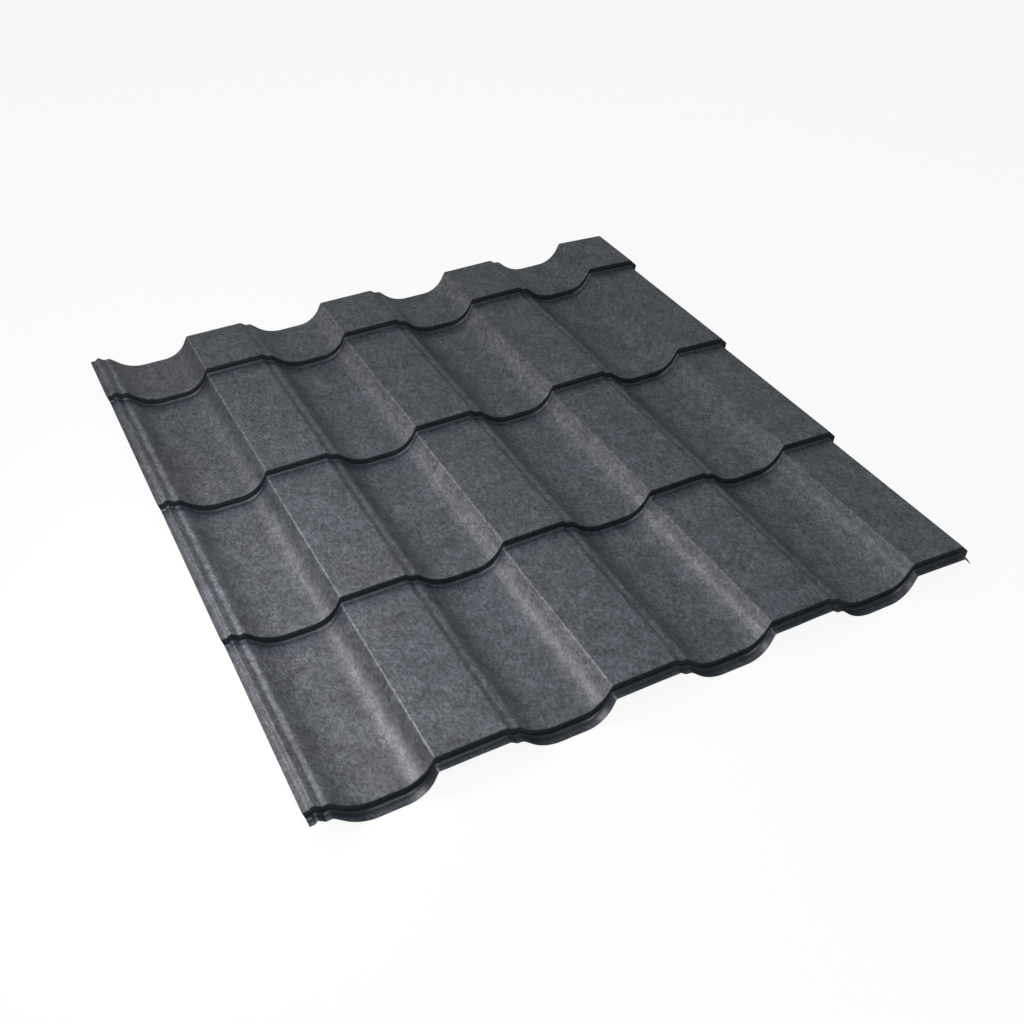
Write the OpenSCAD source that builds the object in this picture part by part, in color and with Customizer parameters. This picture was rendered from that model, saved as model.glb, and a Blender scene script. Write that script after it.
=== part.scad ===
// Tile effect roofing sheet: one thin steel sheet, roll formed into waves
// across and pressed into stepped courses along its length.
// Millimetres. X runs across the waves, Y runs up the roof, Z is up.
// The sheet lies flat; the origin is the middle of its box, on the floor.

/* [Sheet] */
// thickness of the coated steel
sheet_thickness = 0.6; // [0.4:0.05:1.2]
// waves across the sheet
wave_count = 4; // [2:1:6]
// full courses up the sheet
course_count = 3; // [1:1:4]

/* [Wave] */
// distance from one wave to the next
wave_pitch = 287.5; // [240:0.5:340]
// level difference from crest to trough
wave_depth = 40; // [30:1:55]
// width of the flat crest
crest_width = 111.5; // [80:0.5:140]
// width of the slope from the crest to the shoulder
shoulder_offset = 9.2; // [5:0.1:15]
// width of the shoulder beside the crest
shoulder_width = 12.8; // [6:0.1:20]
// drop from the crest to the shoulder
shoulder_drop = 7.2; // [3:0.1:12]
// fall across the shoulder
shoulder_fall = 1.6; // [0:0.1:4]
// slope of the gentle flank, degrees
gentle_angle = 42; // [32:1:50]
// slope of the steep flank, degrees
steep_angle = 63; // [50:1:72]
// bend radius at the foot of the gentle flank
gentle_radius = 72; // [40:1:90]
// bend radius at the foot of the steep flank
steep_radius = 49; // [30:1:60]
// bend radius of the crease and of the small bends
crease_radius = 4; // [3:0.5:8]

/* [Courses] */
// length of a full course
course_length = 350; // [300:1:420]
// length of the short course at the head
head_length = 135; // [60:1:200]
// height of the pressed step
step_height = 15; // [8:1:25]
// lean of the step from upright, degrees
step_lean = 8; // [3:1:20]
// bend radius at the top of the step
step_top_radius = 3; // [2:0.5:5]
// bend radius at the foot of the step
step_foot_radius = 3.5; // [2:0.5:6]
// flange in front of the lowest step, at the crests
flange_length = 15; // [8:1:30]
// how much further the flange reaches out in the troughs
flange_lobe = 4; // [0:1:10]

/* [Side edges] */
// how far the left lip reaches past the first crest
lip_reach = 18; // [14:1:30]
// width of the flat part of the left lip
lip_flat = 9.5; // [5:0.5:14]
// how far the left lip lies below the crest
lip_drop = 4.5; // [2:0.5:8]
// width of the narrow first crest
lip_crest = 3; // [2.5:0.5:6]
// how far the right edge reaches past the last pitch
turn_reach = 12; // [6:1:20]
// where the turned down edge starts, in from the last pitch
turn_inset = 4; // [0:1:10]
// how far the right edge is turned down
turn_drop = 16; // [8:1:24]
// how far the last crest falls towards the turned down edge
edge_fall = 6; // [0:0.5:10]
// how far pressing the steps draws the side edges in at the foot of a step
edge_draw = 4; // [0:0.5:8]

/* [Hidden] */
// degrees of bend for each facet of a small bend
small_step = 45;
// degrees of bend for each facet of a wide bend
wide_step = 13;

wave_span = wave_count * wave_pitch;
sheet_width = lip_reach + wave_span + turn_reach;
flange_reach = flange_length + flange_lobe;
sheet_length = flange_reach + course_count * course_length + head_length;
turn_start = wave_span - turn_inset;
crease_x = wave_pitch - crest_width;
shoulder_end = shoulder_offset + shoulder_width;
shoulder_level = -shoulder_drop - shoulder_fall;
gentle_foot = shoulder_end + (wave_depth + shoulder_level) / tan(gentle_angle);
steep_foot = crease_x - wave_depth / tan(steep_angle);
step_run = step_height * tan(step_lean);
course_fall = step_height / (course_length - step_run);
head_level = step_height - head_length * course_fall;

// direction of travel from one corner to the next, degrees
function heading(from, to) = atan2(to[1] - from[1], to[0] - from[0]);

// corner with a bend: points [across, level, heading] along its arc
function bend(before, at, after) =
    let (
        start = heading(before, at),
        turn = heading(at, after) - start,
        side = sign(turn),
        radius = at[2],
        back = radius * tan(abs(turn) / 2),
        tangent = [at[0] - back * cos(start), at[1] - back * sin(start)],
        centre = [tangent[0] - side * radius * sin(start), tangent[1] + side * radius * cos(start)],
        facets = max(1, ceil(abs(turn) / at[3]))
    )
    [
        for (k = [0 : facets])
            let (angle = start + turn * k / facets)
            [centre[0] + side * radius * sin(angle), centre[1] - side * radius * cos(angle), angle]
    ];

// section through all corners, with a plain point at each end
function section(corners) =
    let (last = len(corners) - 1)
    [
        [corners[0][0], corners[0][1], heading(corners[0], corners[1])],
        for (i = [1 : last - 1])
            each bend(corners[i - 1], corners[i], corners[i + 1]),
        [corners[last][0], corners[last][1], heading(corners[last - 1], corners[last])]
    ];

// corners [across, level, bend radius, degrees for each facet] of one wave
function wave_corners(x) = [
    [x, 0, crease_radius, small_step],
    [x + shoulder_offset, -shoulder_drop, crease_radius, small_step],
    [x + shoulder_end, shoulder_level, crease_radius, small_step],
    [x + gentle_foot, -wave_depth, gentle_radius, wide_step],
    [x + steep_foot, -wave_depth, steep_radius, wide_step],
    [x + crease_x, 0, crease_radius, small_step]
];

// wave section from the left lip to the turned down right edge
across = section([
    [-lip_reach, -lip_drop],
    [lip_flat - lip_reach, -lip_drop, crease_radius / 2, small_step],
    [-lip_crest, 0, crease_radius / 2, small_step],
    for (k = [0 : wave_count - 1])
        each wave_corners(k * wave_pitch),
    [turn_start, -edge_fall, crease_radius, small_step],
    [wave_span + turn_reach, -edge_fall - turn_drop]
]);

// corners of the step at the lower end of one course
function step_corners(y) = [
    [y - step_run, 0, step_foot_radius, small_step],
    [y, step_height, step_top_radius, small_step]
];

// long section from the flange up to the head of the sheet
along = section([
    [-flange_length, 0],
    for (k = [0 : course_count])
        each step_corners(k * course_length),
    [course_count * course_length + head_length, head_level]
]);

columns = len(across);
rows = len(along);

// share of the draw that an edge point takes: none on the waves, all at the cut edge
function edge_share(x) =
    x < 0 ? -x / lip_reach
    : x > turn_start ? (turn_start - x) / (turn_inset + turn_reach)
    : 0;

// place across the sheet: the side edges lie further in where a course is lower
function place_across(a, b) = a[0] + edge_draw * edge_share(a[0]) * (1 - b[1] / step_height);

// place along the sheet: the cut edge of the flange reaches further out in the troughs
function place_along(a, b) = b[0] > -flange_length ? b[0] : b[0] + flange_lobe * a[1] / wave_depth;

// point of the sheet at a depth below its upper face
function skin_point(a, b, depth) =
    let (
        nx = -sin(a[2]) * cos(b[2]),
        ny = -cos(a[2]) * sin(b[2]),
        nz = cos(a[2]) * cos(b[2]),
        size = norm([nx, ny, nz])
    )
    [place_across(a, b), place_along(a, b), a[1] + b[1]] - depth / size * [nx, ny, nz];

upper_face = [for (b = along) for (a = across) skin_point(a, b, 0)];
under_face = [for (b = along) for (a = across) skin_point(a, b, sheet_thickness)];
floor_level = min([for (p = under_face) p[2]]);
shift = [
    lip_reach - sheet_width / 2,
    flange_reach - sheet_length / 2,
    -floor_level
];

function upper(i, j) = j * columns + i;
function under(i, j) = (rows + j) * columns + i;

// two triangles over four points given clockwise from outside
function pair(a, b, c, d) = [[a, b, c], [a, c, d]];

sheet_faces = [
    for (j = [0 : rows - 2])
        for (i = [0 : columns - 2])
            each pair(upper(i, j), upper(i, j + 1), upper(i + 1, j + 1), upper(i + 1, j)),
    for (j = [0 : rows - 2])
        for (i = [0 : columns - 2])
            each pair(under(i, j), under(i + 1, j), under(i + 1, j + 1), under(i, j + 1)),
    for (i = [0 : columns - 2])
        each pair(upper(i, 0), upper(i + 1, 0), under(i + 1, 0), under(i, 0)),
    for (i = [0 : columns - 2])
        each pair(upper(i + 1, rows - 1), upper(i, rows - 1), under(i, rows - 1), under(i + 1, rows - 1)),
    for (j = [0 : rows - 2])
        each pair(upper(0, j + 1), upper(0, j), under(0, j), under(0, j + 1)),
    for (j = [0 : rows - 2])
        each pair(upper(columns - 1, j), upper(columns - 1, j + 1),
            under(columns - 1, j + 1), under(columns - 1, j))
];

// the formed sheet, moved so that its box stands on the floor at the origin
module roofing_sheet() {
    color([0.29, 0.3, 0.32])
        translate(shift)
            polyhedron(points = concat(upper_face, under_face), faces = sheet_faces, convexity = 12);
}

roofing_sheet();
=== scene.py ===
"""Tile effect roofing sheet of formed steel with a textured anthracite coating, on a white studio floor."""

import math

import bpy
from mathutils import Matrix, Vector, noise


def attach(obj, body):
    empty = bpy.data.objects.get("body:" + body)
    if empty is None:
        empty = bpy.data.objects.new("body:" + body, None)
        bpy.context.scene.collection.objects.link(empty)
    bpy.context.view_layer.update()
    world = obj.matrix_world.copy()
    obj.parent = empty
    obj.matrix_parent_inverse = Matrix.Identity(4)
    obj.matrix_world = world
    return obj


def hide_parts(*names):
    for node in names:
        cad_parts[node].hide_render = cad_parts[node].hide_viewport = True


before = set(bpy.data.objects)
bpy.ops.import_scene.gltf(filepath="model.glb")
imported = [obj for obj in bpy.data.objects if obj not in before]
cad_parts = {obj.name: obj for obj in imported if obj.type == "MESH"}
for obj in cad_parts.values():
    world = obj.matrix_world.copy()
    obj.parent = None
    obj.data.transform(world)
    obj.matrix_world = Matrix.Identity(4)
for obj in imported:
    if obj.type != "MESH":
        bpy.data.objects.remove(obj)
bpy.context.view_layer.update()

MM = 0.001

# Sheet, in millimetres: the sizes of the solid, apart from the foot of the step, which is rounder here
THICKNESS = 0.6
WAVE_COUNT = 4
COURSE_COUNT = 3
WAVE_PITCH = 287.5
WAVE_DEPTH = 40.0
CREST_WIDTH = 111.5
SHOULDER_OFFSET = 9.2
SHOULDER_WIDTH = 12.8
SHOULDER_DROP = 7.2
SHOULDER_FALL = 1.6
GENTLE_ANGLE = 42.0
STEEP_ANGLE = 63.0
GENTLE_RADIUS = 72.0
STEEP_RADIUS = 49.0
CREASE_RADIUS = 4.0
COURSE_LENGTH = 350.0
HEAD_LENGTH = 135.0
STEP_HEIGHT = 15.0
STEP_LEAN = 8.0
STEP_TOP_RADIUS = 3.0
STEP_FOOT_RADIUS = 6.0
FLANGE_LENGTH = 15.0
FLANGE_LOBE = 4.0
LIP_REACH = 18.0
LIP_FLAT = 9.5
LIP_DROP = 4.5
LIP_CREST = 3.0
TURN_REACH = 12.0
TURN_INSET = 4.0
TURN_DROP = 16.0
EDGE_FALL = 6.0
EDGE_DRAW = 4.0

# Shoulder bead beside a crest, rounder than in the solid: (across, level, bend radius) of its three corners
FIRST_BEAD = ((0.0, 0.0, 3.0), (9.2, -7.2, 4.0), (19.6, -6.8, 8.0))
BEAD = ((1.4, 0.0, 7.0), (11.5, -7.5, 6.0), (21.2, -8.1, 13.0))

# Where the flat part of the front flange ends, short of the bend at the foot of the step
FLANGE_FLAT_END = -5.5

# Fineness of the visible skin: degrees for each facet of a bend, and millimetres for each straight stretch
SMALL_BEND_STEP = 9.0
WIDE_BEND_STEP = 4.0
ROW_SPACING = 16.0
COLUMN_SPACING = 12.0

# Dents of thin steel and the uneven cut front edge, in millimetres, with their place in the noise.
# Dents fade out towards the floor: full from DENT_FADE above it, none below DENT_CLEAR.
DENT_DEPTH = 0.22
DENT_SIZE = 70.0
DENT_SEED = 1.3
DENT_CLEAR = 1.0
DENT_FADE = 11.0
CUT_WAVE = 0.5
CUT_WAVE_SIZE = 45.0
CUT_WAVE_SEED = 3.7

# Camera, in metres, degrees and, for the lens and its sensor, millimetres
CAMERA_AT = Vector((-0.81423, -1.56403, 1.43811))
CAMERA_AIM = Vector((-0.05255, -0.1594, 0.04))
CAMERA_ROLL = 1.236
CAMERA_LENS = 43.502
CAMERA_SENSOR = 36.0

# Worked out from the sizes: where the crease and the end of the shoulder lie within a wave, the run of
# a step, the fall of a course, the whole width and length, and the move to the floor at the origin
CREASE = WAVE_PITCH - CREST_WIDTH
SHOULDER_END = SHOULDER_OFFSET + SHOULDER_WIDTH
SHOULDER_LEVEL = -SHOULDER_DROP - SHOULDER_FALL
STEP_RUN = STEP_HEIGHT * math.tan(math.radians(STEP_LEAN))
COURSE_FALL = STEP_HEIGHT / (COURSE_LENGTH - STEP_RUN)
FLANGE_REACH = FLANGE_LENGTH + FLANGE_LOBE
WAVE_SPAN = WAVE_COUNT * WAVE_PITCH
TURN_START = WAVE_SPAN - TURN_INSET
SHEET_WIDTH = LIP_REACH + WAVE_SPAN + TURN_REACH
SHEET_LENGTH = FLANGE_REACH + COURSE_COUNT * COURSE_LENGTH + HEAD_LENGTH
SHIFT = Vector((LIP_REACH - SHEET_WIDTH / 2, FLANGE_REACH - SHEET_LENGTH / 2, WAVE_DEPTH + THICKNESS))


def heading(start, end):
    """Direction of travel from one corner to the next, in radians."""
    return math.atan2(end[1] - start[1], end[0] - start[0])


def bend(before, at, after):
    """Points (across, level, heading) along the arc that rounds a corner."""
    start = heading(before, at)
    turn = heading(at, after) - start
    side = 1.0 if turn > 0.0 else -1.0
    radius = at[2]
    back = radius * math.tan(abs(turn) / 2.0)
    tangent = (at[0] - back * math.cos(start), at[1] - back * math.sin(start))
    centre = (tangent[0] - side * radius * math.sin(start), tangent[1] + side * radius * math.cos(start))
    facets = max(2, math.ceil(abs(math.degrees(turn)) / at[3]))
    points = []
    for k in range(facets + 1):
        angle = start + turn * k / facets
        across = centre[0] + side * radius * math.sin(angle)
        level = centre[1] - side * radius * math.cos(angle)
        points.append((across, level, angle))
    return points


def section(corners, spacing):
    """Section through all corners, with no straight stretch left longer than the spacing."""
    points = [(corners[0][0], corners[0][1], heading(corners[0], corners[1]))]
    for before, at, after in zip(corners, corners[1:], corners[2:]):
        points += bend(before, at, after)
    points.append((corners[-1][0], corners[-1][1], heading(corners[-2], corners[-1])))
    fine = [points[0]]
    for a, b in zip(points, points[1:]):
        cuts = max(1, math.ceil(math.hypot(b[0] - a[0], b[1] - a[1]) / spacing))
        for k in range(1, cuts):
            share = k / cuts
            fine.append((a[0] + (b[0] - a[0]) * share, a[1] + (b[1] - a[1]) * share, b[2]))
        fine.append(b)
    return fine


def wave_section():
    """Section across the sheet, from the left lip to the turned down right edge."""
    gentle_foot = SHOULDER_END + (WAVE_DEPTH + SHOULDER_LEVEL) / math.tan(math.radians(GENTLE_ANGLE))
    steep_foot = CREASE - WAVE_DEPTH / math.tan(math.radians(STEEP_ANGLE))
    corners = [
        (-LIP_REACH, -LIP_DROP),
        (LIP_FLAT - LIP_REACH, -LIP_DROP, CREASE_RADIUS / 2, SMALL_BEND_STEP),
        (-LIP_CREST, 0.0, CREASE_RADIUS / 2, SMALL_BEND_STEP),
    ]
    for k in range(WAVE_COUNT):
        x = k * WAVE_PITCH
        bead = BEAD if k else FIRST_BEAD
        corners += [(x + across, level, radius, SMALL_BEND_STEP) for across, level, radius in bead]
        corners += [
            (x + gentle_foot, -WAVE_DEPTH, GENTLE_RADIUS, WIDE_BEND_STEP),
            (x + steep_foot, -WAVE_DEPTH, STEEP_RADIUS, WIDE_BEND_STEP),
            (x + CREASE, 0.0, CREASE_RADIUS, SMALL_BEND_STEP),
        ]
    corners += [
        (TURN_START, -EDGE_FALL, CREASE_RADIUS, SMALL_BEND_STEP),
        (WAVE_SPAN + TURN_REACH, -EDGE_FALL - TURN_DROP),
    ]
    return section(corners, COLUMN_SPACING)


def course_section():
    """Section along the sheet, from the flange up to the head."""
    corners = [(-FLANGE_LENGTH, 0.0)]
    for k in range(COURSE_COUNT + 1):
        y = k * COURSE_LENGTH
        corners += [
            (y - STEP_RUN, 0.0, STEP_FOOT_RADIUS, SMALL_BEND_STEP),
            (y, STEP_HEIGHT, STEP_TOP_RADIUS, SMALL_BEND_STEP),
        ]
    head = COURSE_COUNT * COURSE_LENGTH + HEAD_LENGTH
    corners.append((head, STEP_HEIGHT - HEAD_LENGTH * COURSE_FALL))
    return section(corners, ROW_SPACING)


def face_normal(a, b):
    """Upward normal of the sheet where the two sections have these headings."""
    n = Vector((
        -math.sin(a[2]) * math.cos(b[2]),
        -math.cos(a[2]) * math.sin(b[2]),
        math.cos(a[2]) * math.cos(b[2]),
    ))
    return n.normalized()


def edge_share(x):
    """How much of the draw a point takes: none on the waves, all of it at the cut side edges."""
    if x < 0.0:
        return -x / LIP_REACH
    if x > TURN_START:
        return (TURN_START - x) / (TURN_INSET + TURN_REACH)
    return 0.0


def flange_share(b):
    """How far a row lies out on the front flange: 0 where its flat part ends, 1 at the cut edge."""
    share = (FLANGE_FLAT_END - b[0]) / (FLANGE_LENGTH + FLANGE_FLAT_END)
    return min(max(share, 0.0), 1.0)


def skin_place(a, b):
    """Place of the upper face where the two sections meet, with the small unevenness of real sheet."""
    x = a[0] + EDGE_DRAW * edge_share(a[0]) * (1.0 - b[1] / STEP_HEIGHT)
    out = flange_share(b)
    uneven = noise.noise(Vector((x / CUT_WAVE_SIZE, CUT_WAVE_SEED, 0.0)))
    y = b[0] + out * (FLANGE_LOBE * a[1] / WAVE_DEPTH + CUT_WAVE * (1.0 + uneven))
    place = Vector((x, y, a[1] + b[1])) + SHIFT
    dent = noise.noise(Vector((x / DENT_SIZE, b[0] / DENT_SIZE, DENT_SEED)))
    level = math.cos(a[2]) * math.cos(b[2]) * (1.0 - out)
    clear = (place.z - DENT_CLEAR) / (DENT_FADE - DENT_CLEAR)
    place.z -= DENT_DEPTH * level * (1.0 - dent) / 2.0 * min(max(clear, 0.0), 1.0)
    return place


def sheet_points(across, along):
    """Points of the upper face, and of the under face one thickness below them, in metres."""
    upper = []
    under = []
    for b in along:
        for a in across:
            point = skin_place(a, b)
            upper.append(point * MM)
            under.append((point - face_normal(a, b) * THICKNESS) * MM)
    return upper, under


def sheet_faces(rows, columns):
    """Faces of the upper and the under side, and then the faces of the cut edge."""
    count = rows * columns
    sides = []
    for j in range(rows - 1):
        for i in range(columns - 1):
            p = j * columns + i
            sides.append((p, p + 1, p + columns + 1, p + columns))
            sides.append((count + p, count + p + columns, count + p + columns + 1, count + p + 1))
    edge = []
    for i in range(columns - 1):
        q = (rows - 1) * columns + i
        edge.append((i, count + i, count + i + 1, i + 1))
        edge.append((q, q + 1, count + q + 1, count + q))
    for j in range(rows - 1):
        p = j * columns
        q = p + columns - 1
        edge.append((p, p + columns, count + p + columns, count + p))
        edge.append((q, count + q, count + q + columns, q + columns))
    return sides, edge


def sheet_skin(name):
    """The whole sheet as one closed mesh, finer and rounder than the solid that it stands for."""
    across = wave_section()
    along = course_section()
    upper, under = sheet_points(across, along)
    sides, edge = sheet_faces(len(along), len(across))
    mesh = bpy.data.meshes.new(name)
    mesh.from_pydata(upper + under, [], sides + edge)
    mesh.update()
    keep_cut_edges_sharp(mesh, len(sides))
    skin = bpy.data.objects.new(name, mesh)
    bpy.context.scene.collection.objects.link(skin)
    return skin


def keep_cut_edges_sharp(mesh, first_edge_face):
    """Smooth shading on both faces of the sheet, with a crisp line where the cut edge begins."""
    kinds = {}
    for polygon in mesh.polygons:
        polygon.use_smooth = True
        for key in polygon.edge_keys:
            kinds.setdefault(key, set()).add(polygon.index >= first_edge_face)
    sharp = mesh.attributes.new("sharp_edge", "BOOLEAN", "EDGE")
    for edge in mesh.edges:
        sharp.data[edge.index].value = len(kinds[edge.key]) == 2


class Shading:
    """Short ways to add and join nodes of one material."""

    def __init__(self, name):
        self.material = bpy.data.materials.new(name)
        self.material.use_nodes = True
        self.nodes = self.material.node_tree.nodes
        self.links = self.material.node_tree.links
        self.nodes.clear()

    def add(self, kind, **settings):
        """A new node; settings name its properties."""
        node = self.nodes.new(kind)
        for key, value in settings.items():
            setattr(node, key, value)
        return node

    def feed(self, socket, value):
        """Link an output to a socket, or write a plain value into it."""
        if isinstance(value, bpy.types.NodeSocket):
            self.links.new(value, socket)
        else:
            socket.default_value = value

    def noise(self, place, scale, detail, rough):
        """Soft noise from 0 to 1 with features of about 1/scale metres."""
        node = self.add("ShaderNodeTexNoise")
        self.feed(node.inputs["Vector"], place)
        self.feed(node.inputs["Scale"], scale)
        self.feed(node.inputs["Detail"], detail)
        self.feed(node.inputs["Roughness"], rough)
        return node.outputs["Fac"]

    def grains(self, place, scale):
        """A random value from 0 to 1 for each grain of about 1/scale metres."""
        node = self.add("ShaderNodeTexVoronoi")
        self.feed(node.inputs["Vector"], place)
        self.feed(node.inputs["Scale"], scale)
        return self.parts(node.outputs["Color"])["X"]

    def parts(self, vector):
        """The X, Y and Z of a vector."""
        node = self.add("ShaderNodeSeparateXYZ")
        self.feed(node.inputs[0], vector)
        return node.outputs

    def stretch(self, value, span, to):
        """Map one range to another, clamped."""
        node = self.add("ShaderNodeMapRange", clamp=True)
        for socket, number in zip(node.inputs, (value, *span, *to)):
            self.feed(socket, number)
        return node.outputs["Result"]

    def ramp(self, distance, span, to):
        """Change from one number to another over a span that is given in millimetres."""
        return self.stretch(distance, (span[0] * MM, span[1] * MM), to)

    def math(self, operation, a, b=0.0):
        """One sum, product or the like."""
        node = self.add("ShaderNodeMath", operation=operation)
        self.feed(node.inputs[0], a)
        self.feed(node.inputs[1], b)
        return node.outputs["Value"]

    def product(self, first, *others):
        """All the factors multiplied."""
        result = first
        for factor in others:
            result = self.math("MULTIPLY", result, factor)
        return result

    def blend(self, share, a, b):
        """Mix of two colours."""
        node = self.add("ShaderNodeMix", data_type="RGBA", blend_type="MIX")
        colour_a, colour_b = node.inputs[6], node.inputs[7]
        self.feed(node.inputs["Factor"], share)
        self.feed(colour_a, a)
        self.feed(colour_b, b)
        return node.outputs[2]

    def scaled(self, colour, factor):
        """A colour made lighter or darker."""
        node = self.add("ShaderNodeVectorMath", operation="SCALE")
        self.feed(node.inputs[0], colour)
        self.feed(node.inputs["Scale"], factor)
        return node.outputs["Vector"]


# Coating greys, linear; the fourth is the warm grey of the painted flank highlights and of the warmer left
# side, the fifth the blue grey of the painted shade on the steps
WARM_GREY = (0.071, 0.0785, 0.0895, 1.0)
GREEN_GREY = (0.064, 0.078, 0.0885, 1.0)
BLUE_GREY = (0.063, 0.078, 0.0935, 1.0)
HIGHLIGHT_AND_LEFT_GREY = (0.079, 0.080, 0.088, 1.0)
SHADE_BLUE_GREY = (0.054, 0.076, 0.110, 1.0)

# Unevenness of the coating: scale, detail and roughness of each soft noise, and scale of the grains
CLOUDS = (4.5, 2.0, 0.5)
PATCHES = (45.0, 3.0, 0.8)
COOL_CLOUDS = (7.0, 4.0, 0.65)
MOTTLE = (22.0, 3.0, 0.8)
BUMPS = (420.0, 3.0, 0.6)
BLOTS = 130.0
SPECKLE = 330.0

# Grains are drawn out along the roll: factors for their coordinates
GRAIN_SHAPE = (1.0, 0.62, 1.0)

# How far the noises reach: the part of the noise that counts, and the share or tone that it gives
PATCH_SHARE = 0.3
CLOUD_SPAN = (0.40, 0.60)
COOL_SPAN = (0.42, 0.7)
COOL_SHARE = (0.0, 0.5)
MOTTLE_SPAN = (0.25, 0.75)
MOTTLE_TONE = (0.68, 1.32)
BLOT_TONE = (0.84, 1.16)
SPECKLE_TONE = (0.6, 1.4)

# Shine and fine bump, with the depth of the bump in metres
SPECKLE_ROUGHNESS = (0.42, 0.36)
SPECULAR = 0.5
BUMP_STRENGTH = 0.15
BUMP_DEPTH = 0.0006

# Painted highlight on the steep flanks, palest on the second and third waves, and painted shade on the
# flanks of the first wave, with spans in millimetres: two within a wave, and two from the first crest
FLANK_HIGHLIGHT = 0.42
FIRST_FLANK_SHADE = -0.22
FLANK_START = (148.0, 166.0)
FLANK_END = (173.0, 179.0)
FIRST_TO_SECOND = (200.0, 400.0)
THIRD_TO_LAST = (800.0, 1000.0)

# Painted highlight on the first creases, as a pale line, in millimetres: half its width, and its fade from
# the first crest
CREASE_HIGHLIGHT = 0.7
CREASE_LINE = (0.6, 2.2)
CREASE_FADE = (250.0, 700.0)

# The darker cut edge of the left lip, the painted highlight on the first bead, and the warmer left side of
# the sheet, with spans in millimetres from the first crest
LIP_TONE = 0.72
LIP_EDGE = (-12.0, -7.0)
BEAD_HIGHLIGHT = 0.4
BEAD_START = (10.0, 12.0)
BEAD_END = (16.0, 19.0)
LEFT_WARMTH = 0.4
LEFT_FADE = (100.0, 400.0)

# Painted shade and light of the pressed steps: painted shade on the riser, and a painted shadow strip with
# a painted highlight line in front of its foot; the front flange is darker
# Spans are in millimetres from the foot: below zero in front of it, above zero behind it.
# RISER_FACING is the Y of the normal at which a riser starts to count, and at which it counts in full.
RISER_SHADE_TONE = 0.11
RISER_START = (-0.2, 0.6)
RISER_START_SHARE = 0.25
RISER_FACING = (-0.35, -0.8)
SHADOW_STRIP_TONE = 0.38
SHADOW_STRIP_SPAN = (-10.0, -3.0)
SHADOW_FADE_TONE = 0.62
SHADOW_FADE_SPAN = (-34.0, -3.0)
HIGHLIGHT_LINE_GAIN = 1.7
HIGHLIGHT_LINE_SPAN = (-3.0, -1.2)
SHADOW_STRIP_END = (0.8, 1.2)
FLANGE_TONE = 0.62
FLANGE_END = (-1.0, 1.0)

# Tones of the pressed steps, mostly painted shade, at which the coating starts to look bluer, and at which
# it looks bluest
SHADE_BLUE_SPAN = (1.0, 0.15)

ZERO_TO_ONE = (0.0, 1.0)
ONE_TO_ZERO = (1.0, 0.0)


def step_distances(shade, at):
    """Distances along the sheet from the nearest foot of a step, and from the foot of the lowest one."""
    half = COURSE_LENGTH / 2 * MM
    foot = (SHIFT.y - STEP_RUN) * MM
    up_roof = shade.math("SUBTRACT", shade.parts(at)["Y"], foot - half)
    into = shade.math("FLOORED_MODULO", up_roof, COURSE_LENGTH * MM)
    return shade.math("SUBTRACT", into, half), shade.math("SUBTRACT", up_roof, half)


def step_tone(shade, at, normal):
    """Tone of the pressed steps: painted shade on the riser, a painted highlight as a grey line at its
    foot, a painted shadow strip that fades downwards, and a darker front flange.
    """
    from_step, from_lowest = step_distances(shade, at)
    # Painted shadow in front of each riser foot, with a painted highlight line at the foot
    shadow_near = shade.ramp(from_step, SHADOW_STRIP_SPAN, (1.0, SHADOW_STRIP_TONE))
    shadow_wide = shade.ramp(from_step, SHADOW_FADE_SPAN, (1.0, SHADOW_FADE_TONE))
    line = shade.ramp(from_step, HIGHLIGHT_LINE_SPAN, (1.0, HIGHLIGHT_LINE_GAIN))
    behind = shade.ramp(from_step, SHADOW_STRIP_END, ZERO_TO_ONE)
    strip = shade.math("MAXIMUM", shade.product(shadow_near, shadow_wide, line), behind)

    # Painted shade that darkens the riser
    steep = shade.stretch(shade.parts(normal)["Y"], RISER_FACING, ZERO_TO_ONE)
    upper = shade.ramp(from_step, RISER_START, (RISER_START_SHARE, 1.0))
    riser = shade.stretch(shade.product(steep, upper), ZERO_TO_ONE, (1.0, RISER_SHADE_TONE))
    flange = shade.ramp(from_lowest, FLANGE_END, (FLANGE_TONE, 1.0))
    return shade.product(strip, flange, riser)


def flank_highlight_gain(shade, across, in_wave):
    """How much paler the steep flanks look, as painted highlight: darker on the first wave, as painted
    shade, palest on the second and third.
    """
    first = shade.ramp(across, FIRST_TO_SECOND, (FIRST_FLANK_SHADE, FLANK_HIGHLIGHT))
    last = shade.ramp(across, THIRD_TO_LAST, ONE_TO_ZERO)
    start = shade.ramp(in_wave, FLANK_START, ZERO_TO_ONE)
    end = shade.ramp(in_wave, FLANK_END, ONE_TO_ZERO)
    return shade.product(first, last, shade.product(start, end))


def crease_highlight_gain(shade, across, in_wave):
    """How much paler the creases look as painted highlight, in thin lines that fade out towards the right.
    """
    off_crease = shade.math("ABSOLUTE", shade.math("SUBTRACT", in_wave, CREASE * MM))
    line = shade.ramp(off_crease, CREASE_LINE, ONE_TO_ZERO)
    return shade.product(line, shade.ramp(across, CREASE_FADE, (CREASE_HIGHLIGHT, 0.0)))


def bead_highlight_gain(shade, across):
    """How much paler the first bead looks, as painted highlight."""
    start = shade.ramp(across, BEAD_START, (0.0, BEAD_HIGHLIGHT))
    return shade.product(start, shade.ramp(across, BEAD_END, ONE_TO_ZERO))


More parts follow.
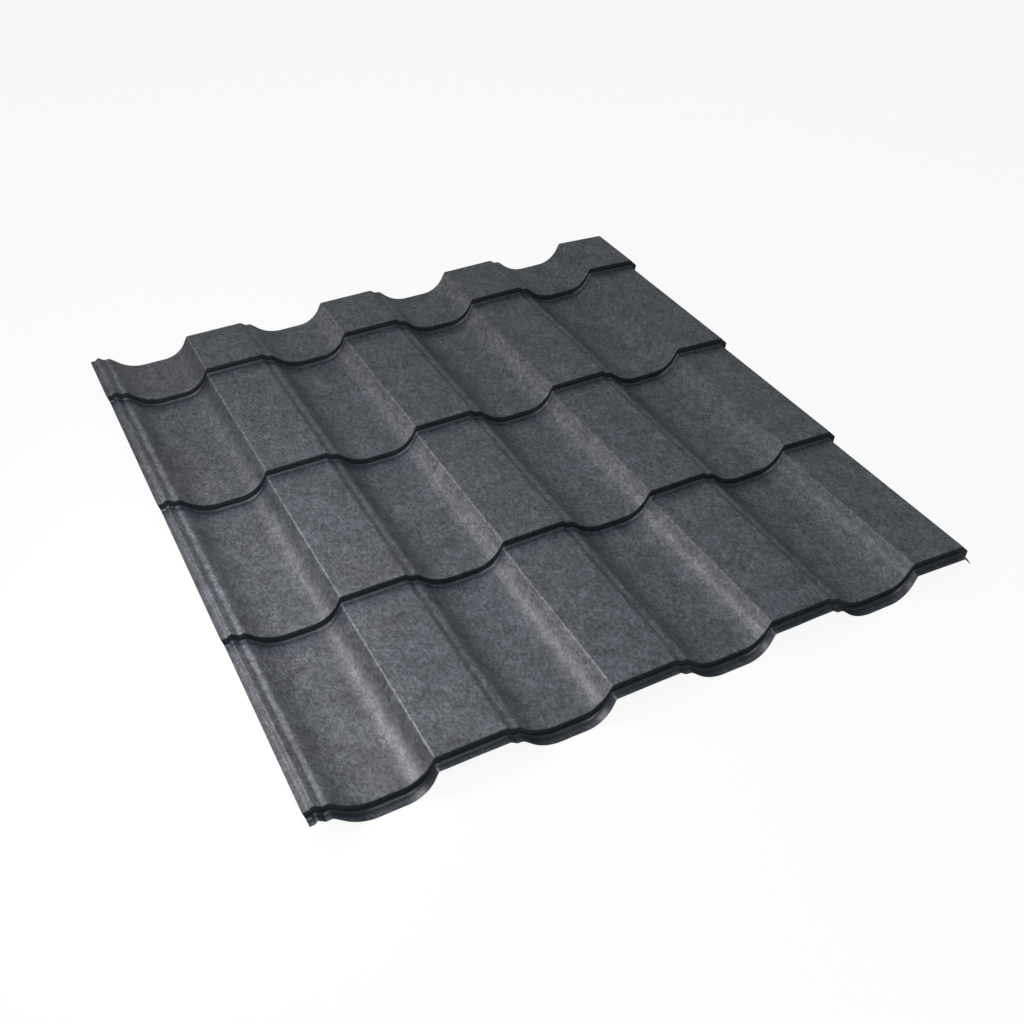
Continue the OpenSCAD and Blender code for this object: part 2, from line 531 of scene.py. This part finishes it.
def wave_tone(shade, at):
    """Tone across the sheet, with painted highlights on the flanks, creases and first bead, painted shade
    on the first flanks and the darker lip edge, and the share of the warm highlight grey on the flanks and
    of the left side.
    """
    across = shade.math("SUBTRACT", shade.parts(at)["X"], SHIFT.x * MM)
    in_wave = shade.math("FLOORED_MODULO", across, WAVE_PITCH * MM)
    # Painted highlights on the steep flanks, the creases and the first bead, and painted shade on the
    # flanks of the first wave
    gain = flank_highlight_gain(shade, across, in_wave)
    flank = shade.math("ADD", gain, 1.0)
    crease = shade.math("ADD", crease_highlight_gain(shade, across, in_wave), 1.0)
    bead = shade.math("ADD", bead_highlight_gain(shade, across), 1.0)
    lip = shade.ramp(across, LIP_EDGE, (LIP_TONE, 1.0))
    left = shade.ramp(across, LEFT_FADE, (LEFT_WARMTH, 0.0))
    highlight_and_left_warmth = shade.math("MAXIMUM", shade.stretch(gain, (0.0, FLANK_HIGHLIGHT), ZERO_TO_ONE), left)
    return shade.product(flank, crease, shade.product(lip, bead)), highlight_and_left_warmth


def coating_tint(shade, at, highlight_and_left_warmth, pressed):
    """Grey of the coating: soft clouds of warmer and bluer grey, warmer painted highlights on the flanks,
    bluer painted shade on the steps.
    """
    drift = shade.blend(PATCH_SHARE, shade.noise(at, *CLOUDS), shade.noise(at, *PATCHES))
    clouds = shade.stretch(drift, CLOUD_SPAN, ZERO_TO_ONE)
    cool = shade.stretch(shade.noise(at, *COOL_CLOUDS), COOL_SPAN, COOL_SHARE)
    shade_blue_share = shade.stretch(pressed, SHADE_BLUE_SPAN, ZERO_TO_ONE)
    tint = shade.blend(clouds, WARM_GREY, GREEN_GREY)
    tint = shade.blend(cool, tint, BLUE_GREY)
    tint = shade.blend(highlight_and_left_warmth, tint, HIGHLIGHT_AND_LEFT_GREY)
    return shade.blend(shade_blue_share, tint, SHADE_BLUE_GREY)


def coated_steel():
    """Matt granular coating: grey with mottle, blots and speckle, painted shade, shadow and highlights on
    the pressed steps and flanks, and a fine bump.
    """
    shade = Shading("coated_steel")
    place = shade.add("ShaderNodeTexCoord")
    at = place.outputs["Object"]
    along_roll = shade.add("ShaderNodeVectorMath", operation="MULTIPLY")
    shade.feed(along_roll.inputs[0], at)
    shade.feed(along_roll.inputs[1], GRAIN_SHAPE)
    grain_at = along_roll.outputs["Vector"]

    mottle = shade.stretch(shade.noise(at, *MOTTLE), MOTTLE_SPAN, MOTTLE_TONE)
    blots = shade.stretch(shade.grains(grain_at, BLOTS), ZERO_TO_ONE, BLOT_TONE)
    speckle = shade.stretch(shade.grains(grain_at, SPECKLE), ZERO_TO_ONE, SPECKLE_TONE)
    grain = shade.product(mottle, blots, speckle)

    # Painted highlights and shade across the waves, and painted shade, shadow and highlight of the pressed
    # steps
    waved, highlight_and_left_warmth = wave_tone(shade, at)
    pressed = step_tone(shade, at, place.outputs["Normal"])
    tint = coating_tint(shade, at, highlight_and_left_warmth, pressed)
    colour = shade.scaled(tint, shade.product(grain, shade.product(pressed, waved)))

    bump = shade.add("ShaderNodeBump")
    shade.feed(bump.inputs["Height"], shade.noise(grain_at, *BUMPS))
    shade.feed(bump.inputs["Strength"], BUMP_STRENGTH)
    shade.feed(bump.inputs["Distance"], BUMP_DEPTH)

    surface = shade.add("ShaderNodeBsdfPrincipled")
    shade.feed(surface.inputs["Base Color"], colour)
    shade.feed(surface.inputs["Roughness"], shade.stretch(speckle, SPECKLE_TONE, SPECKLE_ROUGHNESS))
    shade.feed(surface.inputs["Specular IOR Level"], SPECULAR)
    shade.feed(surface.inputs["Normal"], bump.outputs["Normal"])
    output = shade.add("ShaderNodeOutputMaterial")
    shade.feed(output.inputs["Surface"], surface.outputs["BSDF"])
    return shade.material


# Floor: half its width and its gap below the sheet, in metres; its greys; its share of glow where seen
FLOOR_HALF = 30.0
FLOOR_GAP = 0.0002
FLOOR_BOUNCE_GREY = (0.25, 0.25, 0.25, 1.0)
FLOOR_SEEN_GREY = (0.8, 0.8, 0.8, 1.0)
FLOOR_GLOW = 0.9


def floor_material():
    """Plain floor: white with a soft shadow in view, and grey as a source of bounced light."""
    shade = Shading("floor_white")
    bounce = shade.add("ShaderNodeBsdfDiffuse")
    shade.feed(bounce.inputs["Color"], FLOOR_BOUNCE_GREY)
    seen = shade.add("ShaderNodeBsdfDiffuse")
    shade.feed(seen.inputs["Color"], FLOOR_SEEN_GREY)
    glow = shade.add("ShaderNodeEmission")
    lit = shade.add("ShaderNodeMixShader")
    shade.feed(lit.inputs["Fac"], FLOOR_GLOW)
    shade.links.new(seen.outputs[0], lit.inputs[1])
    shade.links.new(glow.outputs[0], lit.inputs[2])
    rays = shade.add("ShaderNodeLightPath")
    choice = shade.add("ShaderNodeMixShader")
    shade.feed(choice.inputs["Fac"], rays.outputs["Is Camera Ray"])
    shade.links.new(bounce.outputs[0], choice.inputs[1])
    shade.links.new(lit.outputs[0], choice.inputs[2])
    output = shade.add("ShaderNodeOutputMaterial")
    shade.feed(output.inputs["Surface"], choice.outputs[0])
    return shade.material


def floor_plane():
    """Large plain floor under the sheet."""
    mesh = bpy.data.meshes.new("floor")
    signs = ((-1, -1), (1, -1), (1, 1), (-1, 1))
    corners = [(x * FLOOR_HALF, y * FLOOR_HALF, -FLOOR_GAP) for x, y in signs]
    mesh.from_pydata(corners, [], [(0, 1, 2, 3)])
    mesh.materials.append(floor_material())
    floor = bpy.data.objects.new("floor", mesh)
    bpy.context.scene.collection.objects.link(floor)
    return floor


# Lamps: place, aim and size in metres, radiance, colour
WARM_LIGHT = (1.0, 0.92, 0.94)
PLAIN_LIGHT = (1.0, 0.955, 0.97)
COOL_LIGHT = (0.96, 0.99, 1.0)
LAMPS = {
    "key_left": ((-0.75, -0.2, 0.6), (-0.2, -0.55, 0.0), (0.45, 0.4), 4.8, WARM_LIGHT),
    "front_left": ((-0.9, -0.3, 0.5), (-0.2, -0.55, 0.0), (0.45, 0.35), 4.0, WARM_LIGHT),
    "middle_left": ((-0.78, 0.05, 0.45), (0.0, -0.3, 0.0), (0.35, 0.3), 1.8, WARM_LIGHT),
    "rear_left": ((-0.78, 0.4, 0.45), (0.0, 0.1, 0.0), (0.4, 0.3), 2.0, WARM_LIGHT),
    "back_left": ((-1.5, 1.2, 0.9), (0.1, -0.2, 0.0), (1.0, 0.7), 1.7, PLAIN_LIGHT),
    "overhead": ((-0.4, 0.6, 2.4), (0.0, 0.0, 0.0), (2.4, 2.0), 0.55, PLAIN_LIGHT),
    "front": ((-0.8, -2.6, 2.4), (0.0, 0.0, 0.0), (2.0, 1.5), 6.2, COOL_LIGHT),
}

# Even light all round, and the backdrop that the camera sees instead of it
WORLD_STRENGTH = 0.3
BACKDROP_STRENGTH = 1.0
WHITE = (1.0, 1.0, 1.0, 1.0)


def soft_lamp(name, at, target, size, radiance, colour):
    """A rectangular soft lamp; radiance 1 looks white."""
    lamp = bpy.data.lights.new(name, "AREA")
    lamp.shape = "RECTANGLE"
    lamp.size = size[0]
    lamp.size_y = size[1]
    lamp.energy = radiance * math.pi * size[0] * size[1]
    lamp.color = colour
    holder = bpy.data.objects.new(name, lamp)
    holder.location = at
    holder.visible_camera = False
    holder.rotation_euler = (Vector(target) - Vector(at)).to_track_quat("-Z", "Y").to_euler()
    bpy.context.scene.collection.objects.link(holder)


def world_light():
    """Weak even light all round, white where the camera sees it."""
    world = bpy.data.worlds.new("studio")
    bpy.context.scene.world = world
    world.use_nodes = True
    nodes = world.node_tree.nodes
    links = world.node_tree.links
    nodes.clear()
    output = nodes.new("ShaderNodeOutputWorld")
    light = nodes.new("ShaderNodeBackground")
    light.inputs["Color"].default_value = WHITE
    light.inputs["Strength"].default_value = WORLD_STRENGTH
    seen = nodes.new("ShaderNodeBackground")
    seen.inputs["Color"].default_value = WHITE
    seen.inputs["Strength"].default_value = BACKDROP_STRENGTH
    rays = nodes.new("ShaderNodeLightPath")
    mix = nodes.new("ShaderNodeMixShader")
    links.new(rays.outputs["Is Camera Ray"], mix.inputs["Fac"])
    links.new(light.outputs["Background"], mix.inputs[1])
    links.new(seen.outputs["Background"], mix.inputs[2])
    links.new(mix.outputs["Shader"], output.inputs["Surface"])


def photo_camera():
    """Camera at the photograph's viewing angle."""
    data = bpy.data.cameras.new("photo_camera")
    data.lens = CAMERA_LENS
    data.sensor_width = CAMERA_SENSOR
    camera = bpy.data.objects.new("photo_camera", data)
    camera.location = CAMERA_AT
    bpy.context.scene.collection.objects.link(camera)
    look = (CAMERA_AIM - CAMERA_AT).to_track_quat("-Z", "Y").to_matrix()
    turn = Matrix.Rotation(math.radians(CAMERA_ROLL), 3, "Z")
    camera.rotation_euler = (look @ turn).to_euler()
    bpy.context.scene.camera = camera


bpy.context.scene.view_settings.view_transform = "Standard"
photo_camera()

skin = sheet_skin("formed_sheet")
skin.data.materials.append(coated_steel())
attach(skin, "root")
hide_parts("roofing_sheet")

floor_plane()
for lamp_name, (at, target, size, radiance, colour) in LAMPS.items():
    soft_lamp(lamp_name, at, target, size, radiance, colour)
world_light()
